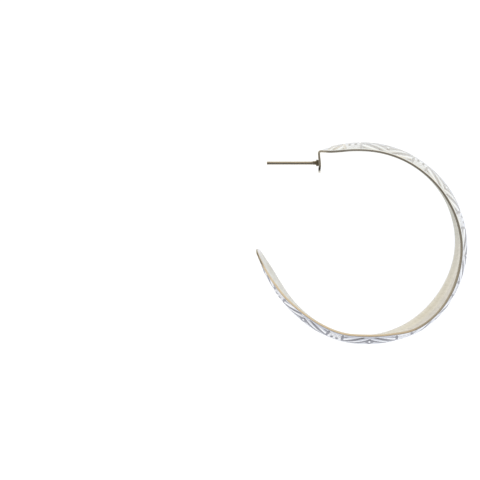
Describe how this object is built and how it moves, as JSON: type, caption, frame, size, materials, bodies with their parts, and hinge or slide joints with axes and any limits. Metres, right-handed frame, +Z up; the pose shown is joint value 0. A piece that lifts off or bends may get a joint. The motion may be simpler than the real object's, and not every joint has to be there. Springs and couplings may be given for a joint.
{
  "type": "hoop earring",
  "caption": "Open C-shaped hoop earring: a domed, patterned silver strip with a free tapered tip, and a plain strap bent square into a tab that carries a straight ear post.",
  "frame": {"origin": "under the middle of the box round the earring, on the surface that it lies on", "axes": "+Z up, along the strip's width; X and Y lie in the plane of the hoop; the post points along -X"},
  "size_m": [0.047, 0.045, 0.0065],
  "materials": {
    "silver": "polished sterling silver, roller-patterned on the outer face, satin inside"
  },
  "bodies": {
    "root": {"hoop_earring": "silver"}
  },
  "joints": []
}
